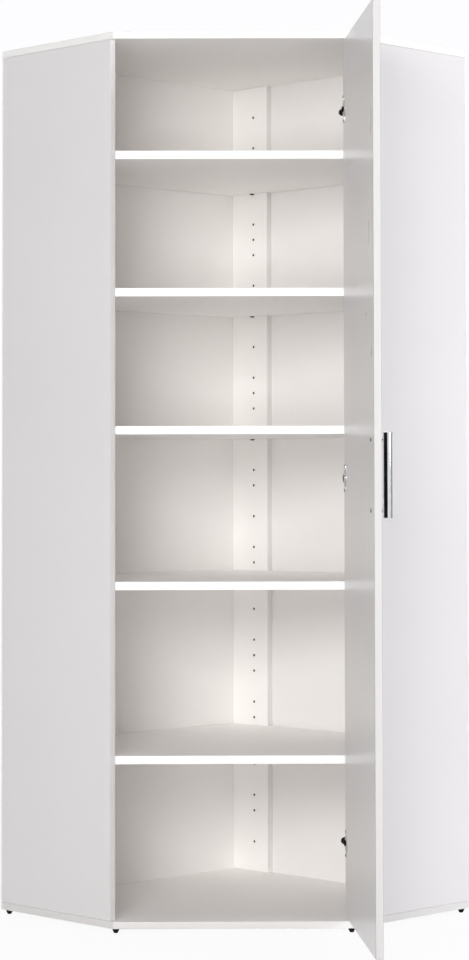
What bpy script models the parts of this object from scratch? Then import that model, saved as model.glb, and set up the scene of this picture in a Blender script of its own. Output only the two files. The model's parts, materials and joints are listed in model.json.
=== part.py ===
"""Tall corner cupboard with one hinged door, five loose shelves and a drilled corner board.

In plan the body is a square set in the corner of a room, with its front corner cut off at
45 degrees. The body is drawn in the room's frame: its origin is the corner of the room, X
runs along the left wall and Y along the right wall. The door is drawn closed, in a frame on
the hinge pins, and that frame is turned to the angle at which the door stands open.
Lengths are in metres and +Z is up.
"""

import math

import bmesh
import bpy
from mathutils import Vector

# Overall sizes of the body
BODY_HEIGHT = 1.990
WALL_LENGTH = 0.765
SIDE_DEPTH = 0.378

# Boards
BOARD = 0.016
SHELF_BOARD = 0.019
REAR_BOARD = 0.003
EASED_EDGE = 0.0008

# Clearances that many pieces share
SEAT_GAP = 0.0003
CUT_OVERRUN = 0.002

# Corner board, and the columns of holes in it and in the side panels
CORNER_BOARD_WIDTH = 0.123
CORNER_COLUMN = 0.074
SIDE_FRONT_COLUMN = 0.070
SIDE_REAR_COLUMN = 0.045
LOWEST_HOLE = 0.089
HIGHEST_HOLE = 0.0915
HOLE_RADIUS = 0.0029
HOLE_DEPTH = 0.0105
HOLE_LEVELS = (0, 2, 3, 5, 7, 8, 9, 11, 12, 13, 15, 17, 18, 19, 21, 23, 24, 26, 28, 29,
               30, 32, 34, 36, 38, 39, 40, 42, 45, 47)

# Shelves, from the top down, and the half-round pins that carry them
SHELF_LEVELS = (42, 34, 26, 17, 7)
SHELF_SETBACK = 0.013
SHELF_CLEARANCE = 0.0012
PIN_PEG_RADIUS = 0.0023
PIN_PEG_LENGTH = 0.0095
PIN_PEG_JOIN = 0.0005
PIN_SEAT_RADIUS = 0.0034
PIN_SEAT_LENGTH = 0.0090

# Glides under the bottom panel
GLIDE_HEIGHT = 0.010
GLIDE_RADIUS = 0.0090
GLIDE_CHAMFER = 0.0015
GLIDE_INSET = 0.0125
GLIDE_PEG_RADIUS = 0.0020
GLIDE_PEG_LENGTH = 0.0085
GLIDE_PEG_CLEARANCE = 0.0006

# Door
DOOR_BOARD = 0.016
DOOR_TOP_GAP = 0.003
DOOR_FOOT_GAP = 0.007
DOOR_SIDE_GAP = 0.002
DOOR_EASED_EDGE = 0.0012
REST_OPENING_DEG = 95.0

# Hinge pins, counted from the door's hinge edge and its inner face
PIN_INSET = 0.008
PIN_DEPTH = 0.008
HINGE_PIN_RADIUS = 0.0012
HINGE_PIN_LENGTH = 0.0176
HINGE_PIN_CLEARANCE = 0.00025
HINGE_TOP_INSET = 0.156
HINGE_BOTTOM_INSET = 0.164
HINGE_MIDDLE_DROP = 0.005

# Hinge cup, let into the door
CUP_INSET = 0.0205
CUP_RADIUS = 0.0175
CUP_DEPTH = 0.0125
CUP_BORE_CLEARANCE = 0.0005
CUP_FLANGE = 0.0012
CUP_FLANGE_RADIUS = 0.0192
CUP_EAR_REACH = 0.026
CUP_EAR_RADIUS = 0.0058
CUP_EAR_HOLE_RADIUS = 0.0020
CUP_POCKET_DEPTH = 0.0111
CUP_POCKET_FAR_REACH = 0.0125
CUP_POCKET_CORNER = 0.004
CUP_NOTCH_DEPTH = 0.0003

# Hinge arm: an eye on the pin, a cranked neck, and a channel over the plate
ARM_CLEARANCE = 0.0004
EYE_RADIUS = 0.0027
EYE_CLEARANCE = 0.0003
NECK_WIDTH = 0.012
NECK_THICKNESS = 0.0024
NECK_REACH = 0.0109
NECK_DROP = 0.0005
NECK_BEND = 0.0042
NECK_END = 0.006
CHANNEL_WIDTH = 0.019
CHANNEL_WALL = 0.0018
CHANNEL_LIFT = 0.0030
CHANNEL_HEIGHT = 0.0102
CHANNEL_UPPER_LEAD = 0.012
CHANNEL_LOWER_LEAD = 0.002
CHANNEL_REAR = 0.058

# Hinge plate, screwed to the side panel
PLATE_INSET = 0.037
PLATE_BASE = 0.0022
PLATE_EAR_REACH = 0.016
PLATE_EAR_RADIUS = 0.0075
PLATE_HOLE_RADIUS = 0.0024
PLATE_BLOCK_LENGTH = 0.040

# Bar handle and its screws
HANDLE_EDGE_INSET = 0.046
HANDLE_RISE = 0.001
HANDLE_LENGTH = 0.178
HANDLE_SCREW_INSET = 0.0165
HANDLE_STANDOFF = 0.0080
HANDLE_FLAT_DEPTH = 0.0080
HANDLE_DOME_DEPTH = 0.0120
HANDLE_BAR_WIDTH = 0.0120
HANDLE_BAR_CHAMFER = 0.0012
HANDLE_END_RADIUS = 0.0020
HANDLE_POST_RADIUS = 0.0045
SCREW_RADIUS = 0.0018
SCREW_CLEARANCE = 0.0004
SCREW_REACH = 0.0060
SCREW_HEAD_RADIUS = 0.0042
SCREW_HEAD_HEIGHT = 0.0022

# Numbers of sides of round pieces, and of steps in a quarter turn
HOLE_SIDES = 8
PIN_SIDES = 12
POST_SIDES = 16
CUP_SIDES = 28
QUARTER_STEPS = 4
DOME_STEPS = 12
END_STEPS = 3

# Places that follow from the sizes above
DIAGONAL = math.sqrt(0.5)
FRONT_OVERHANG = DOOR_BOARD / 2
FRONT_CORNER = (WALL_LENGTH - SIDE_DEPTH) * DIAGONAL
ROOM_CORNER_Y = (WALL_LENGTH + SIDE_DEPTH) * DIAGONAL
REAR_FACE = REAR_BOARD + SEAT_GAP
SIDE_FACE = WALL_LENGTH - BOARD
CORNER_BOARD_FACE = REAR_FACE + BOARD
UNDERSIDE = GLIDE_HEIGHT
FLOOR_FACE = UNDERSIDE + BOARD
CEILING_FACE = UNDERSIDE + BODY_HEIGHT - BOARD
DOOR_WIDTH = 2 * (FRONT_CORNER - FRONT_OVERHANG - DOOR_SIDE_GAP)
DOOR_LOW = FLOOR_FACE + DOOR_FOOT_GAP
DOOR_HIGH = CEILING_FACE - DOOR_TOP_GAP
DOOR_MIDDLE = (DOOR_LOW + DOOR_HIGH) / 2
AXIS_X = DOOR_WIDTH / 2 - PIN_INSET
AXIS_Y = DOOR_BOARD - FRONT_OVERHANG - PIN_DEPTH
INNER_FACE = PIN_DEPTH
OUTER_FACE = PIN_DEPTH - DOOR_BOARD
FREE_EDGE = PIN_INSET - DOOR_WIDTH
CUP_CENTRE = PIN_INSET - CUP_INSET
CHANNEL_TOP = CHANNEL_LIFT + CHANNEL_HEIGHT
HANDLE_PITCH = HANDLE_LENGTH - 2 * HANDLE_SCREW_INSET
HOLE_PITCH = (BODY_HEIGHT - LOWEST_HOLE - HIGHEST_HOLE) / HOLE_LEVELS[-1]

# Finishes: colour, roughness and metallic value
WHITE_BOARD = ((0.86, 0.85, 0.86), 0.38, 0.0)
WHITE_SHELF = ((0.88, 0.87, 0.87), 0.40, 0.0)
WHITE_REAR = ((0.80, 0.79, 0.78), 0.55, 0.0)
CHROME = ((0.78, 0.78, 0.80), 0.10, 1.0)
NICKEL = ((0.56, 0.55, 0.53), 0.32, 1.0)
STEEL = ((0.42, 0.41, 0.40), 0.35, 1.0)
BLACK_PLASTIC = ((0.02, 0.02, 0.02), 0.50, 0.0)


def clear_scene():
    """Remove the objects that the scene opens with."""
    for old in list(bpy.data.objects):
        bpy.data.objects.remove(old, do_unlink=True)


def finish_material(name, finish):
    """A Principled material with the piece's colour, roughness and metallic value."""
    colour, roughness, metallic = finish
    material = bpy.data.materials.new(name + "_finish")
    material.use_nodes = True
    shader = material.node_tree.nodes["Principled BSDF"]
    shader.inputs["Base Color"].default_value = (*colour, 1.0)
    shader.inputs["Roughness"].default_value = roughness
    shader.inputs["Metallic"].default_value = metallic
    material.diffuse_color = (*colour, 1.0)
    return material


def place(name, mesh, finish, parent, location=(0.0, 0.0, 0.0), turn=0.0):
    """Put a mesh in the scene as one named sub-part."""
    piece = bpy.data.objects.new(name, mesh)
    mesh.materials.append(finish_material(name, finish))
    piece.location = location
    piece.rotation_euler = (0.0, 0.0, turn)
    piece.parent = parent
    bpy.context.scene.collection.objects.link(piece)


def frame_at(name, location, turn=0.0, parent=None):
    """An empty that pieces are placed in."""
    frame = bpy.data.objects.new(name, None)
    frame.location = location
    frame.rotation_euler = (0.0, 0.0, turn)
    frame.parent = parent
    bpy.context.scene.collection.objects.link(frame)
    return frame


def smoothed(mesh):
    """Shade the rounds smooth and keep the corners sharp."""
    mesh.shade_smooth()
    mesh.set_sharp_from_angle(angle=math.radians(40))
    return mesh


def skin(rings):
    """A closed mesh through rings of points, with a flat face on the first and last ring."""
    shape = bmesh.new()
    loops = [[shape.verts.new(point) for point in ring] for ring in rings]
    shape.faces.new(loops[0])
    shape.faces.new(loops[-1])
    for near, far in zip(loops, loops[1:]):
        for i in range(len(near)):
            j = (i + 1) % len(near)
            shape.faces.new((near[i], near[j], far[j], far[i]))
    bmesh.ops.recalc_face_normals(shape, faces=shape.faces)
    mesh = bpy.data.meshes.new("shape")
    shape.to_mesh(mesh)
    shape.free()
    return smoothed(mesh)


def spot(pair, height, axis):
    """A point from its height along an axis and its pair of numbers across it.

    The pair is (x, y) for axis Z, (z, x) for axis Y and (y, z) for axis X.
    """
    a, b = pair
    return {"Z": (a, b, height), "Y": (b, height, a), "X": (height, a, b)}[axis]


def prism(outline, low, high, axis="Z"):
    """A flat outline pushed from low to high along an axis."""
    return skin([[spot(pair, height, axis) for pair in outline] for height in (low, high)])


def turned(profile, sides, axis="Z"):
    """A turned piece; its profile is a list of (radius, height) from end to end."""
    return skin([[spot(pair, height, axis) for pair in circle(radius, sides)]
                 for radius, height in profile])


def rectangle(a0, a1, b0, b1):
    """The corners of a rectangle, anticlockwise."""
    return [(a0, b0), (a1, b0), (a1, b1), (a0, b1)]


def arc(centre, radius, start_quarter, quarters, steps):
    """Points on an arc; its angles are counted in quarter turns."""
    turns = [math.pi / 2 * (start_quarter + quarters * i / steps) for i in range(steps + 1)]
    return [(centre[0] + radius * math.cos(t), centre[1] + radius * math.sin(t)) for t in turns]


def circle(radius, sides, centre=(0.0, 0.0)):
    """The corners of a regular polygon."""
    return arc(centre, radius, 0, 4, sides)[:-1]


def slot(reach, radius):
    """An outline with round ends, along the first axis."""
    steps = 2 * QUARTER_STEPS
    return arc((reach, 0.0), radius, -1, 2, steps) + arc((-reach, 0.0), radius, 1, 2, steps)


def joined(meshes):
    """Several separate shapes in one mesh, used as one cutter."""
    shape = bmesh.new()
    for mesh in meshes:
        shape.from_mesh(mesh)
    mesh = bpy.data.meshes.new("shapes")
    shape.to_mesh(mesh)
    shape.free()
    return mesh


def worked(mesh, eased=0.0, add=(), cut=()):
    """Ease a solid's edges, add solids to it, cut others from it, and return the mesh."""
    collection = bpy.context.scene.collection.objects
    body = bpy.data.objects.new("body", mesh)
    collection.link(body)
    if eased:
        bevel = body.modifiers.new("eased_edges", "BEVEL")
        bevel.width = eased
        bevel.segments = 1
        bevel.limit_method = "ANGLE"
    tools = []
    for operation, shapes in (("UNION", add), ("DIFFERENCE", cut)):
        for shape in shapes:
            tool = bpy.data.objects.new("tool", shape)
            tool.hide_render = True
            tool.display_type = "WIRE"
            collection.link(tool)
            step = body.modifiers.new(operation.lower(), "BOOLEAN")
            step.operation = operation
            step.solver = "EXACT"
            step.object = tool
            tools.append(tool)
    graph = bpy.context.evaluated_depsgraph_get()
    result = bpy.data.meshes.new_from_object(body.evaluated_get(graph))
    for used in tools + [body]:
        bpy.data.objects.remove(used, do_unlink=True)
    return smoothed(result)


def front_sum(forward):
    """The sum of the two room distances along a line that far in front of the front corners."""
    return WALL_LENGTH + SIDE_DEPTH + forward / DIAGONAL


def pentagon(side, rear, total):
    """The cupboard's plan: two walls, two sides square to them and the cut front."""
    return [(rear, rear), (side, rear), (side, total - side), (total - side, side), (rear, side)]


def glide_places():
    """Where the five glides stand: one inside each corner of the bottom panel."""
    side = WALL_LENGTH - GLIDE_INSET
    rear = REAR_FACE + GLIDE_INSET
    total = front_sum(FRONT_OVERHANG - GLIDE_INSET)
    names = ("corner", "rear_left", "front_left", "front_right", "rear_right")
    return dict(zip(names, pentagon(side, rear, total)))


def make_end_panels(room):
    """Top and bottom panels, which cover the side panels' ends and stand proud in front."""
    outline = pentagon(WALL_LENGTH, REAR_FACE, front_sum(FRONT_OVERHANG))
    top = prism(outline, CEILING_FACE, CEILING_FACE + BOARD)
    place("top_panel", worked(top, EASED_EDGE), WHITE_BOARD, room)

    socket_end = UNDERSIDE + GLIDE_PEG_LENGTH + GLIDE_PEG_CLEARANCE
    sockets = []
    for centre in glide_places().values():
        socket = circle(GLIDE_PEG_RADIUS + GLIDE_PEG_CLEARANCE, HOLE_SIDES, centre)
        sockets.append(prism(socket, UNDERSIDE - CUT_OVERRUN, socket_end))
    bottom = worked(prism(outline, UNDERSIDE, FLOOR_FACE), EASED_EDGE, cut=[joined(sockets)])
    place("bottom_panel", bottom, WHITE_BOARD, room)


def hole_height(level):
    """Height of a hole's middle above the floor."""
    return UNDERSIDE + LOWEST_HOLE + level * HOLE_PITCH


def hole_column(axis, face, across, outward):
    """All the holes of one column, as one cutter.

    face is the drilled face's place along the axis, across is the column's place along the
    other level axis, and outward is the direction in which the holes open.
    """
    mouth = face + outward * CUT_OVERRUN
    end = face - outward * HOLE_DEPTH
    holes = []
    for level in HOLE_LEVELS:
        height = hole_height(level)
        centre = (across, height) if axis == "X" else (height, across)
        holes.append(prism(circle(HOLE_RADIUS, HOLE_SIDES, centre), mouth, end, axis))
    return joined(holes)


def side_columns():
    """Distances of the side panels' two columns from the wall behind each panel."""
    return (SIDE_DEPTH - SIDE_FRONT_COLUMN, REAR_FACE + SIDE_REAR_COLUMN)


def make_side_panels(room):
    """Side panels between top and bottom, square to the walls, with two columns of holes."""
    low = FLOOR_FACE + SEAT_GAP
    high = CEILING_FACE - SEAT_GAP
    left = prism(rectangle(SIDE_FACE, WALL_LENGTH, REAR_FACE, SIDE_DEPTH), low, high)
    holes = joined(hole_column("X", SIDE_FACE, column, -1) for column in side_columns())
    place("side_panel_left", worked(left, EASED_EDGE, cut=[holes]), WHITE_BOARD, room)

    right = prism(rectangle(REAR_FACE, SIDE_DEPTH, SIDE_FACE, WALL_LENGTH), low, high)
    holes = joined(hole_column("Y", SIDE_FACE, column, -1) for column in side_columns())
    place("side_panel_right", worked(right, EASED_EDGE, cut=[holes]), WHITE_BOARD, room)


def make_rear_panels(room):
    """Thin rear panels, fixed on the back of the body, that meet in the corner of the room."""
    high = UNDERSIDE + BODY_HEIGHT
    left = prism(rectangle(0.0, WALL_LENGTH, 0.0, REAR_BOARD), UNDERSIDE, high)
    place("rear_panel_left", left, WHITE_REAR, room)
    right = prism(rectangle(0.0, REAR_BOARD, REAR_FACE, WALL_LENGTH), UNDERSIDE, high)
    place("rear_panel_right", right, WHITE_REAR, room)


def make_corner_board(room):
    """The drilled board that stands in the corner, flat on the right rear panel."""
    low = FLOOR_FACE + SEAT_GAP
    high = CEILING_FACE - SEAT_GAP
    end = REAR_FACE + CORNER_BOARD_WIDTH
    board = prism(rectangle(REAR_FACE, CORNER_BOARD_FACE, REAR_FACE, end), low, high)
    holes = [hole_column("X", CORNER_BOARD_FACE, REAR_FACE + CORNER_COLUMN, 1)]
    place("corner_board", worked(board, EASED_EDGE, cut=holes), WHITE_BOARD, room)


def shelf_outline():
    """A shelf's plan, with a notch round the corner board."""
    rear = REAR_FACE + SHELF_CLEARANCE
    outline = pentagon(SIDE_FACE - SHELF_CLEARANCE, rear, front_sum(-SHELF_SETBACK))
    notch_side = CORNER_BOARD_FACE + SHELF_CLEARANCE
    notch_end = REAR_FACE + CORNER_BOARD_WIDTH + SHELF_CLEARANCE
    return [(notch_side, rear)] + outline[1:] + [(rear, notch_end), (notch_side, notch_end)]


def make_shelves(room):
    """Five loose shelves, each lying on the flats of its pins."""
    for number, level in enumerate(SHELF_LEVELS, start=1):
        low = hole_height(level) + SEAT_GAP
        shelf = prism(shelf_outline(), low, low + SHELF_BOARD)
        place(f"shelf_{number}", worked(shelf, EASED_EDGE), WHITE_SHELF, room)


def shelf_pin():
    """A pin along X: a round peg for the hole and a half-round seat with its flat upwards."""
    peg = turned([(PIN_PEG_RADIUS, -PIN_PEG_LENGTH), (PIN_PEG_RADIUS, SEAT_GAP + PIN_PEG_JOIN)],
                 PIN_SIDES, "X")
    half_round = arc((0.0, 0.0), PIN_SEAT_RADIUS, 2, 2, PIN_SIDES // 2)
    return worked(prism(half_round, SEAT_GAP, PIN_SEAT_LENGTH, "X"), add=[peg])


def make_shelf_pins(room):
    """Five pins under each shelf: two in each side panel and one in the corner board."""
    quarter = math.pi / 2
    front, rear = side_columns()
    places = {
        "left_front": ((SIDE_FACE, front), 2 * quarter),
        "left_rear": ((SIDE_FACE, rear), 2 * quarter),
        "right_front": ((front, SIDE_FACE), -quarter),
        "right_rear": ((rear, SIDE_FACE), -quarter),
        "corner": ((CORNER_BOARD_FACE, REAR_FACE + CORNER_COLUMN), 0.0),
    }
    for number, level in enumerate(SHELF_LEVELS, start=1):
        for where, ((x, y), turn) in places.items():
            name = f"shelf_{number}_pin_{where}"
            place(name, shelf_pin(), NICKEL, room, (x, y, hole_height(level)), turn)


def make_glides(room):
    """Plastic glides, each with a peg in the bottom panel."""
    profile = [
        (GLIDE_RADIUS - GLIDE_CHAMFER, 0.0),
        (GLIDE_RADIUS, GLIDE_CHAMFER),
        (GLIDE_RADIUS, GLIDE_HEIGHT - SEAT_GAP),
        (GLIDE_PEG_RADIUS, GLIDE_HEIGHT - SEAT_GAP),
        (GLIDE_PEG_RADIUS, GLIDE_HEIGHT + GLIDE_PEG_LENGTH),
    ]
    for where, (x, y) in glide_places().items():
        glide = turned(profile, POST_SIDES)
        place("glide_" + where, glide, BLACK_PLASTIC, room, (x, y, 0.0))


def hinge_heights():
    """Heights of the three hinges."""
    return {
        "hinge_top": DOOR_HIGH - HINGE_TOP_INSET,
        "hinge_middle": DOOR_MIDDLE - HINGE_MIDDLE_DROP,
        "hinge_bottom": DOOR_LOW + HINGE_BOTTOM_INSET,
    }


def handle_screw_heights():
    """Heights of the two screws that hold the handle."""
    middle = DOOR_MIDDLE + HANDLE_RISE
    return {
        "handle_screw_upper": middle + HANDLE_PITCH / 2,
        "handle_screw_lower": middle - HANDLE_PITCH / 2,
    }


def make_door(leaf):
    """The door leaf, with a bore for each hinge cup and a hole for each handle screw."""
    outline = rectangle(FREE_EDGE, PIN_INSET, OUTER_FACE, INNER_FACE)
    cuts = []
    for height in hinge_heights().values():
        bore = circle(CUP_RADIUS + CUP_BORE_CLEARANCE, CUP_SIDES, (height, CUP_CENTRE))
        bore_end = INNER_FACE - CUP_DEPTH - CUP_BORE_CLEARANCE
        cuts.append(prism(bore, bore_end, INNER_FACE + CUT_OVERRUN, "Y"))
    for height in handle_screw_heights().values():
        centre = (height, FREE_EDGE + HANDLE_EDGE_INSET)
        hole = circle(SCREW_RADIUS + SCREW_CLEARANCE, HOLE_SIDES, centre)
        cuts.append(prism(hole, OUTER_FACE - CUT_OVERRUN, INNER_FACE + CUT_OVERRUN, "Y"))
    slab = prism(outline, DOOR_LOW, DOOR_HIGH)
    place("door", worked(slab, DOOR_EASED_EDGE, cut=[joined(cuts)]), WHITE_BOARD, leaf)


def cup_pocket():
    """Outline of the cup's pocket: square by the pin, round at its far end."""
    half = NECK_WIDTH / 2 + ARM_CLEARANCE
    near = EYE_RADIUS + EYE_CLEARANCE
    far = CUP_CENTRE - CUP_POCKET_FAR_REACH + CUP_POCKET_CORNER
    corner = half - CUP_POCKET_CORNER
    round_end = (arc((-corner, far), CUP_POCKET_CORNER, 2, 1, QUARTER_STEPS)
                 + arc((corner, far), CUP_POCKET_CORNER, 3, 1, QUARTER_STEPS))
    return round_end + [(half, near), (-half, near)]


def hinge_cup():
    """A cast cup about the hinge pin: barrel, flange with two screw ears, pocket and pin bore."""
    low = INNER_FACE + SEAT_GAP
    high = low + CUP_FLANGE
    centre = (0.0, CUP_CENTRE)
    barrel = prism(circle(CUP_RADIUS, CUP_SIDES, centre), INNER_FACE - CUP_DEPTH, high, "Y")
    rim = prism(circle(CUP_FLANGE_RADIUS, CUP_SIDES, centre), low, high, "Y")
    ear_outline = [(z, x + CUP_CENTRE) for z, x in slot(CUP_EAR_REACH, CUP_EAR_RADIUS)]
    ears = prism(ear_outline, low, high, "Y")

    over = high + CUT_OVERRUN
    pocket = prism(cup_pocket(), INNER_FACE - CUP_POCKET_DEPTH, over, "Y")
    half = NECK_WIDTH / 2 + ARM_CLEARANCE
    notch = prism(rectangle(-half, half, 0.0, PIN_INSET), INNER_FACE - CUP_NOTCH_DEPTH, over, "Y")
    bore_half = HINGE_PIN_LENGTH / 2 + HINGE_PIN_CLEARANCE
    bore = prism(circle(HINGE_PIN_RADIUS + HINGE_PIN_CLEARANCE, PIN_SIDES), -bore_half, bore_half)
    screw_holes = []
    for side in (-1, 1):
        hole = circle(CUP_EAR_HOLE_RADIUS, HOLE_SIDES, (side * CUP_EAR_REACH, CUP_CENTRE))
        screw_holes.append(prism(hole, low - CUT_OVERRUN, over, "Y"))
    return worked(barrel, add=[rim, ears], cut=[pocket, notch, bore, joined(screw_holes)])


def by_panel(along, off):
    """A point beside the right side panel, counted from the hinge pin.

    along runs back from the panel's front edge, off runs from its inner face inwards.
    """
    x = FRONT_CORNER - AXIS_X + (along - off - BOARD) * DIAGONAL
    y = (along + off + BOARD) * DIAGONAL - AXIS_Y
    return Vector((x, y))


def neck_line():
    """The neck's middle line: out of the cup beside the open door, then in line with the arm."""
    middle = CHANNEL_TOP - CHANNEL_WALL / 2
    pin = Vector((0.0, 0.0))
    first_bend = Vector((-NECK_REACH, -NECK_DROP))
    forward = (by_panel(0.0, middle).x + NECK_REACH) / DIAGONAL
    second_bend = by_panel(-forward, middle)
    end = by_panel(NECK_END - CHANNEL_UPPER_LEAD, middle)
    line = [pin]
    for before, bend, after in ((pin, first_bend, second_bend), (first_bend, second_bend, end)):
        start = bend + (before - bend).normalized() * NECK_BEND
        stop = bend + (after - bend).normalized() * NECK_BEND
        for i in range(2 * QUARTER_STEPS + 1):
            share = i / (2 * QUARTER_STEPS)
            line.append(start.lerp(bend, share).lerp(bend.lerp(stop, share), share))
    return line + [end]


def ribbon(line, thickness):
    """The outline of a strip of even thickness along a line."""
    left, right = [], []
    for i, here in enumerate(line):
        ahead = line[min(i + 1, len(line) - 1)] - line[max(i - 1, 0)]
        across = Vector((-ahead.y, ahead.x)).normalized() * thickness / 2
        left.append(tuple(here + across))
        right.append(tuple(here - across))
    return left + right[::-1]


def hinge_arm():
    """The hinge arm about the hinge pin: eye, cranked neck and channel."""
    half = CHANNEL_WIDTH / 2
    neck_half = NECK_WIDTH / 2
    corners = ((-CHANNEL_LOWER_LEAD, CHANNEL_LIFT), (CHANNEL_REAR, CHANNEL_LIFT),
               (CHANNEL_REAR, CHANNEL_TOP), (-CHANNEL_UPPER_LEAD, CHANNEL_TOP))
    channel = prism([tuple(by_panel(*corner)) for corner in corners], -half, half)
    neck = prism(ribbon(neck_line(), NECK_THICKNESS), -neck_half, neck_half)
    eye = prism(circle(EYE_RADIUS, POST_SIDES), -neck_half, neck_half)

    wall = CHANNEL_WALL / DIAGONAL
    under = CHANNEL_LIFT - CUT_OVERRUN
    ceiling = CHANNEL_TOP - CHANNEL_WALL
    rear = CHANNEL_REAR + CUT_OVERRUN
    corners = ((wall, under), (rear, under), (rear, ceiling),
               (2 * wall - CHANNEL_UPPER_LEAD, ceiling), (wall, CHANNEL_LIFT + CHANNEL_WALL))
    hollow_half = half - CHANNEL_WALL
    hollow = prism([tuple(by_panel(*corner)) for corner in corners], -hollow_half, hollow_half)
    bore = circle(HINGE_PIN_RADIUS + HINGE_PIN_CLEARANCE, PIN_SIDES)
    bore = prism(bore, -neck_half - CUT_OVERRUN, neck_half + CUT_OVERRUN)
    return worked(channel, add=[neck, eye], cut=[hollow, bore])


def hinge_plate():
    """The hinge plate: two ears on the panel and a block that the arm's channel sits over."""
    base = SEAT_GAP + PLATE_BASE
    ears = prism(slot(PLATE_EAR_REACH, PLATE_EAR_RADIUS), SEAT_GAP, base, "Y")
    block_half = CHANNEL_WIDTH / 2 - CHANNEL_WALL - SEAT_GAP
    block_top = CHANNEL_TOP - CHANNEL_WALL - SEAT_GAP
    length_half = PLATE_BLOCK_LENGTH / 2
    outline = rectangle(-block_half, block_half, -length_half, length_half)
    block = prism(outline, SEAT_GAP, block_top, "Y")
    holes = []
    for side in (-1, 1):
        hole = circle(PLATE_HOLE_RADIUS, HOLE_SIDES, (side * PLATE_EAR_REACH, 0.0))
        holes.append(prism(hole, SEAT_GAP - CUT_OVERRUN, base + CUT_OVERRUN, "Y"))
    return worked(ears, add=[block], cut=[joined(holes)])


def make_hinges(front, leaf):
    """Three cup hinges: cup and pin turn with the door, arm and plate stay on the panel."""
    half_pin = HINGE_PIN_LENGTH / 2
    pin_profile = [(HINGE_PIN_RADIUS, -half_pin), (HINGE_PIN_RADIUS, half_pin)]
    plate_spot = by_panel(PLATE_INSET, 0.0)
    for name, height in hinge_heights().items():
        place(name + "_cup", hinge_cup(), NICKEL, leaf, (0.0, 0.0, height))
        place(name + "_pin", turned(pin_profile, PIN_SIDES), STEEL, leaf, (0.0, 0.0, height))
        place(name + "_arm", hinge_arm(), NICKEL, front, (AXIS_X, AXIS_Y, height))
        plate_place = (AXIS_X + plate_spot.x, AXIS_Y + plate_spot.y, height)
        place(name + "_plate", hinge_plate(), NICKEL, front, plate_place, math.pi / 4)


def handle_section(less):
    """The bar's section about the line where its flat sides end, drawn smaller by an amount.

    The flat sides run back towards the door, and the outer face is a half oval.
    """
    wide = HANDLE_BAR_WIDTH / 2 - less
    dome = HANDLE_DOME_DEPTH - less
    back = HANDLE_FLAT_DEPTH - less
    cut = HANDLE_BAR_CHAMFER
    oval = [(wide * a, dome * b) for a, b in arc((0.0, 0.0), 1, 2, 2, DOME_STEPS)]
    return oval + [(wide, back - cut), (wide - cut, back), (cut - wide, back), (-wide, back - cut)]


def handle_bar(x, y):
    """The handle's bar, upright at a place in plan, with rounded ends."""
    half = HANDLE_LENGTH / 2
    quarter = arc((0.0, 0.0), HANDLE_END_RADIUS, 0, 1, END_STEPS)
    lower = [(HANDLE_END_RADIUS - out, HANDLE_END_RADIUS - up - half) for out, up in quarter[::-1]]
    upper = [(less, -height) for less, height in lower[::-1]]
    middle = DOOR_MIDDLE + HANDLE_RISE
    return skin([[(x + a, y + b, middle + height) for a, b in handle_section(less)]
                 for less, height in lower + upper])


def make_handle(leaf):
    """The bar handle on two posts, and the screws that hold it through the door."""
    x = FREE_EDGE + HANDLE_EDGE_INSET
    bar_y = OUTER_FACE - HANDLE_STANDOFF - HANDLE_FLAT_DEPTH
    seat = INNER_FACE + SEAT_GAP
    profile = [
        (SCREW_RADIUS, OUTER_FACE - SCREW_REACH),
        (SCREW_RADIUS, seat),
        (SCREW_HEAD_RADIUS, seat),
        (SCREW_HEAD_RADIUS, seat + SCREW_HEAD_HEIGHT / 2),
        (SCREW_HEAD_RADIUS / 2, seat + SCREW_HEAD_HEIGHT),
    ]
    posts, bores = [], []
    for name, height in handle_screw_heights().items():
        post = circle(HANDLE_POST_RADIUS, POST_SIDES, (height, x))
        posts.append(prism(post, bar_y, OUTER_FACE - SEAT_GAP, "Y"))
        bore = circle(SCREW_RADIUS + SCREW_CLEARANCE, HOLE_SIDES, (height, x))
        bore_end = OUTER_FACE - SCREW_REACH - SCREW_CLEARANCE
        bores.append(prism(bore, bore_end, OUTER_FACE + CUT_OVERRUN, "Y"))
        place(name, turned(profile, PIN_SIDES, "Y"), NICKEL, leaf, (x, 0.0, height))
    handle = worked(handle_bar(x, bar_y), add=posts, cut=[joined(bores)])
    place("door_handle", handle, CHROME, leaf)


def foremost():
    """How far forward the open door reaches, as a Y place from the front corners' line."""
    swing = math.radians(REST_OPENING_DEG)
    corners = ((FREE_EDGE, INNER_FACE - DOOR_EASED_EDGE), (FREE_EDGE + DOOR_EASED_EDGE, INNER_FACE),
               (FREE_EDGE, OUTER_FACE + DOOR_EASED_EDGE), (FREE_EDGE + DOOR_EASED_EDGE, OUTER_FACE))
    return min(AXIS_Y + x * math.sin(swing) + y * math.cos(swing) for x, y in corners)


def build():
    """Build the cupboard; the origin is on the floor, in the middle of all it covers."""
    clear_scene()
    middle = (ROOM_CORNER_Y + foremost()) / 2
    room = frame_at("room_corner", (0.0, ROOM_CORNER_Y - middle, 0.0), math.radians(-135))
    front = frame_at("front_line", (0.0, -middle, 0.0))
    swing = math.radians(REST_OPENING_DEG)
    leaf = frame_at("hinge_axis", (AXIS_X, AXIS_Y, 0.0), swing, front)
    make_end_panels(room)
    make_side_panels(room)
    make_rear_panels(room)
    make_corner_board(room)
    make_shelves(room)
    make_shelf_pins(room)
    make_glides(room)
    make_door(leaf)
    make_hinges(front, leaf)
    make_handle(leaf)
    print(f"joint axis at x {AXIS_X:.6f} y {AXIS_Y - middle:.6f}")


build()
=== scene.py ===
# %% [markdown]
# # A white corner cupboard with its door open
#
# The cupboard is made of white melamine-faced particle board: a five-sided body that fits the
# corner of a room, five loose shelves, and one tall door on three concealed hinges. The solids
# of the frame already have every board in its place. This lesson dresses them: it gives the
# boards their edge bands, drills round holes, adds screws, nails, feet and a chrome handle, and
# lights it all.

# %% Load the frame
import json
import math

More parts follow.
